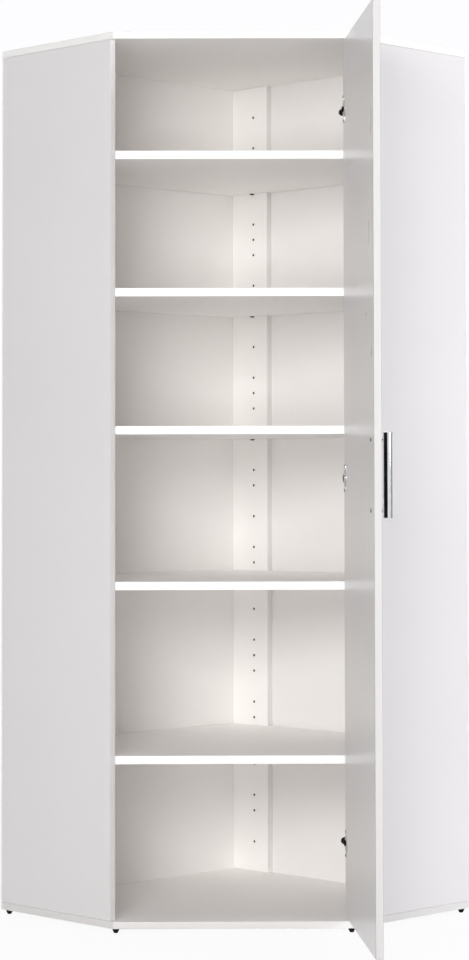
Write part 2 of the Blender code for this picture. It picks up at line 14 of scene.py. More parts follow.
import bmesh
import bpy
from mathutils import Euler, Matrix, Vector


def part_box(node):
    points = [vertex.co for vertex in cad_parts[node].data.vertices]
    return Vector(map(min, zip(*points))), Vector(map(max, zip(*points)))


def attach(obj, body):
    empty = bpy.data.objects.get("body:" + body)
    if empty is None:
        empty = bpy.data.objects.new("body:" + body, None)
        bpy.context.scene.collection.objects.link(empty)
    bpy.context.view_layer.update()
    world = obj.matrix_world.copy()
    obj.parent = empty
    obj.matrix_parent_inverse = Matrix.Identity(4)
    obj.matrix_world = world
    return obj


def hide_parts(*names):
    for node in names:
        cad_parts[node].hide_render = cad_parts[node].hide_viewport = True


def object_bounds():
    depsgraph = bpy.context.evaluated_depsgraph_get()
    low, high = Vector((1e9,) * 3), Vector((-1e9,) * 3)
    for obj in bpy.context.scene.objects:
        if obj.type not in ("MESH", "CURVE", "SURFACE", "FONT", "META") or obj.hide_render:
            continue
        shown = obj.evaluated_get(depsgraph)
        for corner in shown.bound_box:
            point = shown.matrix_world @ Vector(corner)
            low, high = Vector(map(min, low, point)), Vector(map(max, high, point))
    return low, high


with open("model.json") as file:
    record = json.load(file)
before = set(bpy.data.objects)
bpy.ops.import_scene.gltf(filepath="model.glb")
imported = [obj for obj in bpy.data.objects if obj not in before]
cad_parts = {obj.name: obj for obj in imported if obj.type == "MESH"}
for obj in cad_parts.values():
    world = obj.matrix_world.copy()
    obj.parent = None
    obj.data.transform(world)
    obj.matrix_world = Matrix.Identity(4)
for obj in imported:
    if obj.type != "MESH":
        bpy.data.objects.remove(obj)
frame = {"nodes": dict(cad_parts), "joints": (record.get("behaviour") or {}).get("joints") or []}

cad_low, cad_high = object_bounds()
print("frame:", len(frame["nodes"]), "nodes, size in mm",
      [round(1000 * (high - low)) for low, high in zip(cad_low, cad_high)])

# %% [markdown]
# ## The camera
#
# The photographer stood about six metres away, with a long lens, so the lines of the body run
# almost parallel. The lens was aimed at the middle of the height and framed with a small shift,
# which keeps the uprights upright. A wide lens close by would have spread the top and bottom.

# %% Camera at the photographer's place
camera_data = bpy.data.cameras.new("camera")
camera_data.lens = 98.7081
camera_data.sensor_width = 36.0
camera_data.shift_x = -0.05365
camera_data.shift_y = -0.10938
camera = bpy.data.objects.new("camera", camera_data)
camera.location = (0.08322, -5.99837, 1.00233)
camera.rotation_euler = Euler([math.radians(turn) for turn in (92.2438, 0.1306, -0.335)])
bpy.context.scene.collection.objects.link(camera)
bpy.context.scene.camera = camera
print("camera is", round(camera.location.length, 2), "m from the middle of the floor")

# %% [markdown]
# ## Node helpers
#
# Every finish below is a small node tree that starts from Object coordinates, which are metres
# on the piece itself, so a pattern stays put when the door swings. These helpers add a node,
# set its values and join its sockets, and keep each recipe short enough to read at a glance.

# %% Helpers for node trees
def add_node(tree, kind, label="", **values):
    """A node with some of its input values set by name."""
    node = tree.nodes.new(kind)
    node.label = label
    for name, value in values.items():
        node.inputs[name.replace("_", " ")].default_value = value
    return node


def join(tree, source, source_socket, target, target_socket):
    """A link between two sockets given by name or number."""
    tree.links.new(source.outputs[source_socket], target.inputs[target_socket])


def new_material(name):
    """An empty material tree with a Principled shader on its output, and object coordinates."""
    material = bpy.data.materials.new(name)
    material.use_nodes = True
    tree = material.node_tree
    shader = tree.nodes["Principled BSDF"]
    place = tree.nodes.new("ShaderNodeTexCoord")
    return material, tree, shader, place


def ramp(tree, stops):
    """A colour ramp from a list of (position, colour)."""
    node = tree.nodes.new("ShaderNodeValToRGB")
    elements = node.color_ramp.elements
    while len(elements) < len(stops):
        elements.new(0.5)
    for element, (position, colour) in zip(elements, stops):
        element.position = position
        element.color = (*colour, 1.0)
    return node


def noise(tree, place, scale, detail=2.0, stretch=(1.0, 1.0, 1.0)):
    """A noise on the piece; its scale counts waves per metre."""
    mapping = tree.nodes.new("ShaderNodeMapping")
    mapping.inputs["Scale"].default_value = stretch
    join(tree, place, "Object", mapping, "Vector")
    texture = add_node(tree, "ShaderNodeTexNoise", Scale=scale, Detail=detail)
    join(tree, mapping, "Vector", texture, "Vector")
    return texture


def bump(tree, shader, source, socket, depth):
    """A bump whose depth is in metres."""
    node = add_node(tree, "ShaderNodeBump", Strength=1.0, Distance=depth)
    join(tree, source, socket, node, "Height")
    join(tree, node, "Normal", shader, "Normal")
    return node


print("helpers ready")

# %% [markdown]
# ## White melamine
#
# The boards are faced with paper soaked in resin and pressed against a steel plate. The plate
# leaves a faint pearl texture, about a millimetre across, that breaks up reflections. A real
# panel isn't one flat white either: the facing varies by a percent or so over a few decimetres.
# A slow noise drives the colour and the gloss, and a fine one drives the bump.

# %% Melamine finish
def melamine(name, tint, gloss, pearl=0.00003):
    """White facing: tint is its colour, gloss its roughness, pearl the depth of its texture."""
    material, tree, shader, place = new_material(name)
    cloud = noise(tree, place, 2.2, 3.0)
    darker = tuple(0.975 * c for c in tint)
    tone = ramp(tree, [(0.30, darker), (0.70, tint)])
    join(tree, cloud, "Fac", tone, "Fac")
    join(tree, tone, "Color", shader, "Base Color")
    wiped = noise(tree, place, 9.0, 4.0, (1.0, 1.0, 0.35))
    sheen = tree.nodes.new("ShaderNodeMapRange")
    sheen.inputs["To Min"].default_value = gloss - 0.03
    sheen.inputs["To Max"].default_value = gloss + 0.05
    join(tree, wiped, "Fac", sheen, "Value")
    join(tree, sheen, "Result", shader, "Roughness")
    fine = noise(tree, place, 850.0, 2.0)
    bump(tree, shader, fine, "Fac", pearl)
    shader.inputs["IOR"].default_value = 1.5
    return material


# One white facing in three brightnesses, as painted light and shade: the shelves, the top, the
# bottom and the corner board are painted lighter to brighten the dim compartments, and the side
# panels and the door darker.
board_white = melamine("melamine_board", (0.77, 0.757, 0.765), 0.36)
door_white = melamine("melamine_door", (0.75, 0.738, 0.743), 0.28)
shelf_white = melamine("melamine_shelf", (0.95, 0.937, 0.925), 0.40)
band_white = melamine("edge_band", (0.93, 0.925, 0.92), 0.42, pearl=0.00001)
# Painted shade: a darker copy of the edge band for the front edges of the side panels, the corner
# board and the bottom panel.
body_band_painted_shade = melamine("body_edge_band", (0.75, 0.74, 0.735), 0.42, pearl=0.00001)
# Painted shade: the door's edge band is much darker than its face, for the open door's free edge.
door_band_painted_shade = melamine("door_edge_band", (0.55, 0.54, 0.54), 0.50, pearl=0.00001)
print("melamine finishes:", [finish.name for finish in (board_white, door_white, shelf_white,
                                                        band_white, body_band_painted_shade, door_band_painted_shade)])

# %% [markdown]
# ## The other finishes
#
# The rear panels are hardboard with white lacquer, which is flatter and a little rougher. The
# holes show the raw particle board inside the panels, coloured near black as painted shade for
# the deep holes, so that they read as dark dots.
# Hinge cups and plates are nickel-plated steel, with fine streaks from tumbling. The screws and
# the middle hinge's arm are steel coloured dark grey, and the shelf pins are coloured near black.
# The arms of the top and bottom hinge, the same part as the middle one, are painted near black as
# painted shade.
# The handle is bright chrome, and the glides are black moulded plastic.

# %% Lacquered hardboard and raw particle board
def hardboard():
    """White lacquer on hardboard."""
    material, tree, shader, place = new_material("lacquered_hardboard")
    cloud = noise(tree, place, 3.0, 3.0)
    tone = ramp(tree, [(0.3, (0.865, 0.852, 0.842)), (0.7, (0.89, 0.877, 0.867))])
    join(tree, cloud, "Fac", tone, "Fac")
    join(tree, tone, "Color", shader, "Base Color")
    shader.inputs["Roughness"].default_value = 0.55
    bump(tree, shader, noise(tree, place, 320.0, 4.0), "Fac", 0.00006)
    return material


def particle_board():
    """Pressed wood chips, seen where a board is drilled, coloured near black as painted shade for
    the inside of the holes.
    """
    material, tree, shader, place = new_material("particle_board")
    chips = add_node(tree, "ShaderNodeTexVoronoi", Scale=700.0)
    join(tree, place, "Object", chips, "Vector")
    # Near-black tones: painted shade for the inside of the holes, not the chips' own colour.
    tone = ramp(tree, [(0.0, (0.015, 0.011, 0.008)), (0.5, (0.035, 0.026, 0.018)),
                       (1.0, (0.06, 0.045, 0.03))])
    join(tree, chips, "Distance", tone, "Fac")
    join(tree, tone, "Color", shader, "Base Color")
    shader.inputs["Roughness"].default_value = 0.85
    bump(tree, shader, chips, "Distance", 0.0004)
    return material


rear_white = hardboard()
raw_board_painted_shade = particle_board()
print("made", rear_white.name, "and", raw_board_painted_shade.name)

# %% Metals and plastics
def plated(name, tint, gloss, scale=420.0, streak=(1.0, 1.0, 0.2), depth=0.00002):
    """Plated steel with fine streaks."""
    material, tree, shader, place = new_material(name)
    streaks = noise(tree, place, scale, 3.0, streak)
    tone = ramp(tree, [(0.25, tuple(0.86 * c for c in tint)), (0.75, tint)])
    join(tree, streaks, "Fac", tone, "Fac")
    join(tree, tone, "Color", shader, "Base Color")
    shader.inputs["Metallic"].default_value = 1.0
    sheen = tree.nodes.new("ShaderNodeMapRange")
    sheen.inputs["To Min"].default_value = gloss - 0.04
    sheen.inputs["To Max"].default_value = gloss + 0.08
    join(tree, streaks, "Fac", sheen, "Value")
    join(tree, sheen, "Result", shader, "Roughness")
    if depth:
        bump(tree, shader, streaks, "Fac", depth)
    return material


def moulded(name, tint, gloss):
    """Moulded plastic with a spark-eroded grain."""
    material, tree, shader, place = new_material(name)
    grain = noise(tree, place, 1400.0, 2.0)
    tone = ramp(tree, [(0.3, tint), (0.7, tuple(1.5 * c + 0.004 for c in tint))])
    join(tree, grain, "Fac", tone, "Fac")
    join(tree, tone, "Color", shader, "Base Color")
    shader.inputs["Roughness"].default_value = gloss
    bump(tree, shader, grain, "Fac", 0.00008)
    return material


nickel = plated("nickel_plate", (0.56, 0.55, 0.53), 0.28)
screw_nickel = plated("screw_nickel", (0.16, 0.155, 0.15), 0.34)
pin_steel = plated("bright_steel", (0.42, 0.41, 0.40), 0.32)
shelf_pin = plated("shelf_pin_steel", (0.10, 0.10, 0.10), 0.40)
chrome = plated("chrome_plate", (0.78, 0.78, 0.80), 0.06, 60.0, (1.0, 1.0, 1.0), depth=None)
# Painted shade: near black for the arms of the top and bottom hinge and for their caps.
arm_painted_shade = moulded("blackened_arm", (0.008, 0.007, 0.007), 0.42)
black_plastic = moulded("black_plastic", (0.005, 0.005, 0.005), 0.5)
MATT_SPECULAR = 0.06
for matt_black in (arm_painted_shade, black_plastic):
    shader = matt_black.node_tree.nodes["Principled BSDF"]
    shader.inputs["Specular IOR Level"].default_value = MATT_SPECULAR
print("made", nickel.name, chrome.name, black_plastic.name)

# %% Finishes for the frame's own pieces
def finish_of(node):
    """The material that a piece of the frame gets, from its name."""
    if "_pin_" in node:
        return shelf_pin
    if node.startswith("shelf"):
        return shelf_white
    if node.startswith("rear_panel"):
        return rear_white
    if node.startswith("glide"):
        return black_plastic
    # The top and bottom arms take the near-black painted shade; the middle arm is dark grey steel.
    if node.endswith("_arm"):
        return screw_nickel if node == "hinge_middle_arm" else arm_painted_shade
    if node.startswith("hinge"):
        return pin_steel if node.endswith("_pin") else nickel
    if node.startswith("handle_screw"):
        return screw_nickel
    return chrome if node == "door_handle" else board_white


for node_name, node_object in frame["nodes"].items():
    node_object.data.materials.clear()
    node_object.data.materials.append(finish_of(node_name))
print("finished", len(frame["nodes"]), "pieces of the frame")

# %% [markdown]
# ## Where things lie
#
# The body stands square in the corner of a room, so its boards are easiest to place by their
# distances along the two walls. The door is easiest to place in its own frame: x runs from the
# hinge edge, y runs through the thickness, and both turn with the door. Two small functions turn
# such places into the shared frame, and everything after them is typed as a maker would say it.

# %% Room and leaf frames
DIAGONAL = math.sqrt(0.5)
room_corner_y = cad_high[1]
swing = frame["joints"][0]
hinge_line = Vector(swing["pos_m"])
opening = math.radians(-swing["range_deg"][0])


def in_room(along_left, along_right, height):
    """A place from its distances along the left and the right wall of the room."""
    return Vector(((along_right - along_left) * DIAGONAL,
                   room_corner_y - (along_left + along_right) * DIAGONAL, height))


def wall_way(along_left, along_right):
    """A direction given along the two walls."""
    return in_room(along_left, along_right, 0.0) - in_room(0.0, 0.0, 0.0)


def leaf_way(x, y, z=0.0):
    """A direction given in the door's own frame."""
    return Vector((x * math.cos(opening) - y * math.sin(opening),
                   x * math.sin(opening) + y * math.cos(opening), z))


def on_leaf(x, y, height):
    """A place in the door's own frame, which turns about the hinge pins."""
    return leaf_way(x, y, height) + Vector((hinge_line.x, hinge_line.y, 0.0))


def quarter_turns(count):
    """Angles from nought to a quarter turn."""
    return [math.pi / 2 * step / count for step in range(count + 1)]


def full_turn(count):
    """Angles all the way round a ring."""
    return [math.tau * step / count for step in range(count)]


print("hinge line at", [round(v, 4) for v in hinge_line[:2]],
      "open by", round(math.degrees(opening)))

# %% [markdown]
# ## Boards with edge bands
#
# Every board is cut from a big faced panel, so its cut edges show raw particle board until a
# strip of plastic is glued on. On the shelves and the top the strip is a touch brighter and
# smoother than the face; on the door, the side panels, the corner board and the bottom panel it
# is painted darker, as painted shade on those edges. The frame's own boards are loose triangles,
# so a copy is merged and its flat faces joined before it is finished. The widest face tells which
# way the board's thickness runs, and all faces that stand across that are edges. Weighted normals
# make the small eased corners look round.

# %% Dressing a board
FRONT = Vector((0.0, -1.0, 0.0))
MERGE_DISTANCE = 2e-6
FLAT_WITHIN = math.radians(0.6)
EDGE_LEAN = 0.9
FACES_THE_WAY = 0.6
SHARP_FROM = math.radians(50.0)


def face_mesh(node):
    """A merged copy of a node's mesh, with its flat faces joined into whole faces."""
    shape = bmesh.new()
    shape.from_mesh(frame["nodes"][node].data)
    bmesh.ops.remove_doubles(shape, verts=shape.verts, dist=MERGE_DISTANCE)
    bmesh.ops.dissolve_limit(shape, angle_limit=FLAT_WITHIN, verts=shape.verts,
                             edges=shape.edges)
    return shape


def banded(node, face_finish, band, way=None):
    """The mesh of a board with its faces in one finish and its edges banded.

    With a way given, only the edges that face that way are banded.
    """
    shape = face_mesh(node)
    across = max(shape.faces, key=lambda face: face.calc_area()).normal.copy()
    for face in shape.faces:
        is_edge = abs(face.normal.dot(across)) < EDGE_LEAN
        seen = way is None or face.normal.dot(way) > FACES_THE_WAY
        face.material_index = int(is_edge and seen)
    mesh = bpy.data.meshes.new(node + "_board")
    shape.to_mesh(mesh)
    shape.free()
    mesh.materials.append(face_finish)
    mesh.materials.append(band)
    return mesh


def eased_shading(piece):
    """Smooth shading that keeps flat faces flat and rounds the eased corners."""
    piece.data.shade_smooth()
    piece.data.set_sharp_from_angle(angle=SHARP_FROM)
    weighted = piece.modifiers.new("flat_faces", "WEIGHTED_NORMAL")
    weighted.keep_sharp = True


def ring_of(shape, places):
    """One closed ring of points."""
    return [shape.verts.new(place) for place in places]


def skin(shape, rings):
    """Faces between each ring and the next."""
    for near, far in zip(rings, rings[1:]):
        for i in range(len(near)):
            shape.faces.new((near[i - 1], near[i], far[i], far[i - 1]))


def closed_mesh(name, shape, finish):
    """The plain mesh of a finished shape, with its faces turned outwards."""
    bmesh.ops.recalc_face_normals(shape, faces=shape.faces)
    mesh = bpy.data.meshes.new(name)
    shape.to_mesh(mesh)
    shape.free()
    mesh.materials.append(finish)
    return mesh


def new_piece(name, mesh, body, material_slot, *stands_for):
    """A finished piece in the scene, riding on a body."""
    piece = bpy.data.objects.new(name, mesh)
    bpy.context.scene.collection.objects.link(piece)
    return settle(piece, body, material_slot, *stands_for)


def settle(piece, body, material_slot, *stands_for):
    """Say what a piece rides on and which nodes it stands for; material_slot is not used."""
    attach(piece, body)
    if stands_for:
        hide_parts(*stands_for)
    return piece


plain_boards = {name: shelf_white for name in frame["nodes"]
                if name.startswith("shelf") and "_pin_" not in name}
plain_boards.update({"top_panel": shelf_white, "bottom_panel": shelf_white, "door": door_white})
for node_name, face_finish in plain_boards.items():
    is_door = node_name == "door"
    # The door and the bottom panel take the darker edge bands, which are painted shade.
    edge_finish = {"door": door_band_painted_shade, "bottom_panel": body_band_painted_shade}.get(node_name, band_white)
    dressed = banded(node_name, face_finish, edge_finish,
                     None if is_door else FRONT)
    board = new_piece(node_name + "_board", dressed, "door" if is_door else "case",
                      "white_shelf_board" if node_name.startswith("shelf") else "white_board",
                      node_name)
    eased_shading(board)
print("dressed", len(plain_boards), "plain boards")

# %% [markdown]
# ## Geometry Nodes, run by hand
#
# Holes, screws and nails repeat, so each gets a small node tree with named inputs. The tree gets
# a mesh that holds nothing but places, with the direction and size of each as attributes. When
# it has run, its result becomes the piece's own plain mesh and the modifier goes away, so that
# nothing has to be worked out again on export.

# %% Helpers for geometry trees
def places_mesh(name, places, edges=(), **attributes):
    """A mesh of bare points, or lines between them, with vectors stored on its points."""
    mesh = bpy.data.meshes.new(name)
    mesh.from_pydata([tuple(place) for place in places], edges, [])
    for label, vectors in attributes.items():
        attribute = mesh.attributes.new(label, "FLOAT_VECTOR", "POINT")
        for item, vector in zip(attribute.data, vectors):
            item.vector = vector
    return mesh


def geometry_tree(name, **inputs):
    """A geometry tree with named inputs, each given as a socket kind."""
    tree = bpy.data.node_groups.new(name, "GeometryNodeTree")
    tree.interface.new_socket("Geometry", in_out="INPUT", socket_type="NodeSocketGeometry")
    for label, kind in inputs.items():
        tree.interface.new_socket(label.replace("_", " "), in_out="INPUT",
                                  socket_type="NodeSocket" + kind)
    tree.interface.new_socket("Geometry", in_out="OUTPUT", socket_type="NodeSocketGeometry")
    return tree, tree.nodes.new("NodeGroupInput"), tree.nodes.new("NodeGroupOutput")


def stored(tree, label):
    """A vector stored on the points."""
    node = add_node(tree, "GeometryNodeInputNamedAttribute", Name=label)
    node.data_type = "FLOAT_VECTOR"
    return node


def facing(tree, label):
    """The turn that points a shape's upward axis along a stored vector."""
    turn = tree.nodes.new("FunctionNodeAlignRotationToVector")
    turn.axis = "Z"
    join(tree, stored(tree, label), "Attribute", turn, "Vector")
    return turn


def scaled(tree, source, socket, factor):
    """A socket's value times a factor."""
    node = tree.nodes.new("ShaderNodeMath")
    node.operation = "MULTIPLY"
    node.inputs[1].default_value = factor
    join(tree, source, socket, node, 0)
    return node


def run_tree(tree, name, places, **values):
    """Run a tree on a mesh of places and keep its result as the piece's plain mesh."""
    piece = bpy.data.objects.new(name, places)
    bpy.context.scene.collection.objects.link(piece)
    rule = piece.modifiers.new("rule", "NODES")
    rule.node_group = tree
    for socket in tree.interface.items_tree:
        value = values.get(socket.name.replace(" ", "_"))
        if socket.in_out == "INPUT" and value is not None:
            rule[socket.identifier] = value
    graph = bpy.context.evaluated_depsgraph_get()
    result = bpy.data.meshes.new_from_object(piece.evaluated_get(graph))
    piece.modifiers.clear()
    piece.data = result
    print(name, "has", len(result.polygons), "faces")
    return piece


print("geometry helpers ready")

# %% [markdown]
# ## Drilled boards
#
# The shelf pins plug into columns of holes, drilled with one drill at many heights. The holes
# could be painted on, but then a low light would pass straight over them. Here the drill itself
# is a cylinder with raw particle board for its finish, coloured near black as painted shade for
# the inside of the holes. The tree sets one at every mouth and cuts them all from the board at
# once, so each wall keeps the finish of the drill that cut it.

# %% The drilling tree
drilling, given, made = geometry_tree("drilled_board", Board="Object", Drill_Radius="Float",
                                      Hole_Depth="Float", Sides="Int", Raw_Finish="Material")
drill = drilling.nodes.new("GeometryNodeMeshCylinder")
reach = scaled(drilling, given, "Hole Depth", 2.0)
join(drilling, given, "Sides", drill, "Vertices")
join(drilling, given, "Drill Radius", drill, "Radius")
join(drilling, reach, 0, drill, "Depth")
marked = add_node(drilling, "GeometryNodeStoreNamedAttribute", Name="drilled")
marked.data_type, marked.domain = "BOOLEAN", "FACE"
marked.inputs["Value"].default_value = True
raw = drilling.nodes.new("GeometryNodeSetMaterial")
drills = drilling.nodes.new("GeometryNodeInstanceOnPoints")
real = drilling.nodes.new("GeometryNodeRealizeInstances")
board_in = drilling.nodes.new("GeometryNodeObjectInfo")
cut = drilling.nodes.new("GeometryNodeMeshBoolean")
cut.operation, cut.solver = "DIFFERENCE", "EXACT"
was_drilled = add_node(drilling, "GeometryNodeInputNamedAttribute", Name="drilled")
was_drilled.data_type = "BOOLEAN"
last = drilling.nodes.new("GeometryNodeSetMaterial")
join(drilling, drill, "Mesh", marked, "Geometry")
join(drilling, marked, "Geometry", raw, "Geometry")
join(drilling, given, "Raw Finish", raw, "Material")
join(drilling, given, "Geometry", drills, "Points")
join(drilling, raw, "Geometry", drills, "Instance")
join(drilling, facing(drilling, "bore"), "Rotation", drills, "Rotation")
join(drilling, drills, "Instances", real, "Geometry")
join(drilling, given, "Board", board_in, "Object")
join(drilling, board_in, "Geometry", cut, "Mesh 1")
join(drilling, real, "Geometry", cut, "Mesh 2")
join(drilling, cut, "Mesh", last, "Geometry")
join(drilling, was_drilled, "Attribute", last, "Selection")
join(drilling, given, "Raw Finish", last, "Material")
join(drilling, last, "Geometry", made, "Geometry")
print("drilling tree has", len(drilling.nodes), "nodes")

# %% Drill the side panels and the corner board
HOLE_PITCH = 0.0385
LOWEST_HOLE = 0.099
HOLE_LEVELS = (0, 2, 3, 5, 7, 8, 9, 11, 12, 13, 15, 17, 18, 19, 21, 23, 24, 26, 28, 29,
               30, 32, 34, 36, 38, 39, 40, 42, 45, 47)
DRILL_RADIUS = 0.0031
DRILL_SIDES = 24
HOLE_DEPTH = 0.0107
SIDE_FACE = 0.749
CORNER_FACE = 0.0193
SIDE_COLUMNS = (0.308, 0.0483)
CORNER_COLUMN = 0.0773


def mouths(spot, inwards):
    """Places and directions of the holes in one column."""
    spots = [spot + Vector((0.0, 0.0, LOWEST_HOLE + level * HOLE_PITCH))
             for level in HOLE_LEVELS]
    return spots, [inwards] * len(spots)


def drilled(node, face_finish, columns, inwards):
    """A banded board with round holes where its columns are."""
    # The side panels and the corner board take the darker edge band, painted shade on their front
    # edges.
    blank = bpy.data.objects.new(node + "_blank", banded(node, face_finish, body_band_painted_shade, FRONT))
    bpy.context.scene.collection.objects.link(blank)
    spots, bores = [], []
    for column in columns:
        more_spots, more_bores = mouths(column, inwards)
        spots += more_spots
        bores += more_bores
    places = places_mesh(node + "_mouths", spots, bore=bores)
    board = run_tree(drilling, node + "_board", places, Board=blank, Drill_Radius=DRILL_RADIUS,
                     Hole_Depth=HOLE_DEPTH, Sides=DRILL_SIDES, Raw_Finish=raw_board_painted_shade)
    bpy.data.objects.remove(blank, do_unlink=True)
    settle(board, "case", "white_board", node)
    eased_shading(board)


drilled("side_panel_left", board_white,
        [in_room(SIDE_FACE, column, 0.0) for column in SIDE_COLUMNS], wall_way(1.0, 0.0))
drilled("side_panel_right", board_white,
        [in_room(column, SIDE_FACE, 0.0) for column in SIDE_COLUMNS], wall_way(0.0, 1.0))
drilled("corner_board", shelf_white,
        [in_room(CORNER_FACE, CORNER_COLUMN, 0.0)], wall_way(-1.0, 0.0))
print("drilled", len(HOLE_LEVELS), "holes in each column")

# %% [markdown]
# ## Screws
#
# Small cross-head screws hold the hinge cups, the hinge plates and the handle, and two more on
# each hinge arm adjust the door. All have one form, a low dome with a cross cut into it, so one
# tree makes them. It grows the head from a cylinder by extruding its top face and shrinking the
# ring each time, as one would turn it on a lathe, and cuts the cross with two crossed blades.

# %% The screw tree
screwing, given, made = geometry_tree("cross_head_screws", Head_Radius="Float",
                                      Head_Height="Float", Cross_Width="Float",
                                      Cross_Depth="Float", Seed="Int", Finish="Material")


def upward(tree, source, socket, factor):
    """A vector straight up, as long as a share of a socket's value."""
    node = tree.nodes.new("ShaderNodeCombineXYZ")
    join(tree, scaled(tree, source, socket, factor), 0, node, "Z")
    return node


disc = add_node(screwing, "GeometryNodeMeshCylinder", Vertices=20)
join(screwing, given, "Head Radius", disc, "Radius")
join(screwing, scaled(screwing, given, "Head Height", 0.5), 0, disc, "Depth")
shape, socket, top, top_socket = disc, "Mesh", disc, "Top"
for rise_share, ring_share in ((0.22, 0.90), (0.16, 0.80), (0.08, 0.62)):
    grow = screwing.nodes.new("GeometryNodeExtrudeMesh")
    grow.mode = "FACES"
    grow.inputs["Individual"].default_value = False
    join(screwing, shape, socket, grow, "Mesh")
    join(screwing, top, top_socket, grow, "Selection")
    join(screwing, upward(screwing, given, "Head Height", rise_share), 0, grow, "Offset")
    grow.inputs["Offset Scale"].default_value = 1.0
    shrink = add_node(screwing, "GeometryNodeScaleElements", Scale=ring_share)
    join(screwing, grow, "Mesh", shrink, "Geometry")
    join(screwing, grow, "Top", shrink, "Selection")
    shape, socket, top, top_socket = shrink, "Geometry", grow, "Top"
blades = screwing.nodes.new("GeometryNodeJoinGeometry")
for turn in (0, 1):
    blade = screwing.nodes.new("GeometryNodeMeshCube")
    size = screwing.nodes.new("ShaderNodeCombineXYZ")
    join(screwing, scaled(screwing, given, "Head Radius", 1.15), 0, size, "XY"[turn])
    join(screwing, given, "Cross Width", size, "YX"[turn])
    join(screwing, scaled(screwing, given, "Cross Depth", 2.0), 0, size, "Z")
    join(screwing, size, "Vector", blade, "Size")
    lifted = screwing.nodes.new("GeometryNodeTransform")
    join(screwing, blade, "Mesh", lifted, "Geometry")
    join(screwing, upward(screwing, given, "Head Height", 0.71), 0, lifted, "Translation")
    join(screwing, lifted, "Geometry", blades, "Geometry")
crossed = screwing.nodes.new("GeometryNodeMeshBoolean")
crossed.operation, crossed.solver = "DIFFERENCE", "EXACT"
crossed.inputs["Self Intersection"].default_value = True
join(screwing, shape, socket, crossed, "Mesh 1")
join(screwing, blades, "Geometry", crossed, "Mesh 2")
seated = screwing.nodes.new("GeometryNodeTransform")
join(screwing, crossed, "Mesh", seated, "Geometry")
join(screwing, upward(screwing, given, "Head Height", 0.25), 0, seated, "Translation")
heads = screwing.nodes.new("GeometryNodeInstanceOnPoints")
join(screwing, given, "Geometry", heads, "Points")
join(screwing, seated, "Geometry", heads, "Instance")
join(screwing, facing(screwing, "aim"), "Rotation", heads, "Rotation")
join(screwing, stored(screwing, "head"), "Attribute", heads, "Scale")
chance = screwing.nodes.new("FunctionNodeRandomValue")
chance.data_type = "FLOAT"
chance.inputs[3].default_value = math.radians(90.0)
join(screwing, given, "Seed", chance, "Seed")
spin = screwing.nodes.new("ShaderNodeCombineXYZ")
join(screwing, chance, 1, spin, "Z")
driven = screwing.nodes.new("GeometryNodeRotateInstances")
driven.inputs["Local Space"].default_value = True
join(screwing, heads, "Instances", driven, "Instances")
join(screwing, spin, "Vector", driven, "Rotation")
shank = add_node(screwing, "GeometryNodeMeshCylinder", Vertices=12, Radius=1.0, Depth=1.0)
sunk = screwing.nodes.new("GeometryNodeTransform")
sunk.inputs["Translation"].default_value = (0.0, 0.0, -0.5)
join(screwing, shank, "Mesh", sunk, "Geometry")
shanks = screwing.nodes.new("GeometryNodeInstanceOnPoints")
join(screwing, given, "Geometry", shanks, "Points")
join(screwing, sunk, "Geometry", shanks, "Instance")
join(screwing, facing(screwing, "aim"), "Rotation", shanks, "Rotation")
join(screwing, stored(screwing, "shank"), "Attribute", shanks, "Scale")
both = screwing.nodes.new("GeometryNodeJoinGeometry")
real = screwing.nodes.new("GeometryNodeRealizeInstances")
last = screwing.nodes.new("GeometryNodeSetMaterial")
join(screwing, driven, "Instances", both, "Geometry")
join(screwing, shanks, "Instances", both, "Geometry")
join(screwing, both, "Geometry", real, "Geometry")
join(screwing, real, "Geometry", last, "Geometry")
join(screwing, given, "Finish", last, "Material")
join(screwing, last, "Geometry", made, "Geometry")
print("screw tree has", len(screwing.nodes), "nodes")

# %% Set the screws
HINGES = ("hinge_top", "hinge_middle", "hinge_bottom")
CUP_MIDDLE = -0.0125
CUP_SCREW_REACH = 0.026
FLANGE_FACE = 0.0095
PLATE_SCREW_REACH = 0.016
PLATE_MIDDLE = 0.037
PLATE_EAR_FACE = 0.0025
ARM_FACE = 0.0132
ARM_SCREWS = (0.006, 0.046)
HANDLE_MIDDLE = -0.4733
HANDLE_SCREW_SEAT = 0.0083
SIDE_DEPTH = 0.378
# Each screw: its head's scale, and the radius and length of its shank
CUP_SCREW = (1.0, 0.0017, 0.0011)
HANDLE_SCREW = (1.25, 0.0018, 0.0223)
PLATE_SCREW = (1.1, 0.0021, 0.0020)
ARM_SCREW = (0.9, 0.0016, 0.0015)


def hinge_height(hinge):
    """Height of a hinge's middle, from its pin."""
    low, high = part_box(hinge + "_pin")
    return (low.z + high.z) / 2


def by_panel(along, off, height):
    """A place on the right side panel: along from its front edge, off from its inner face."""
    return in_room(SIDE_DEPTH - along, SIDE_FACE - off, height)


def screws(name, spots, body, *stands_for):
    """One piece of screws from (place, aim, head scale, shank radius and length)."""
    places = places_mesh(name + "_places", [spot[0] for spot in spots],
                         aim=[spot[1] for spot in spots],
                         head=[(spot[2],) * 3 for spot in spots],
                         shank=[(spot[3], spot[3], spot[4]) for spot in spots])
    piece = run_tree(screwing, name, places, Head_Radius=0.0034, Head_Height=0.0016,
                     Cross_Width=0.0008, Cross_Depth=0.0007, Seed=7, Finish=screw_nickel)
    eased_shading(piece)
    settle(piece, body, "nickel_screw", *stands_for)


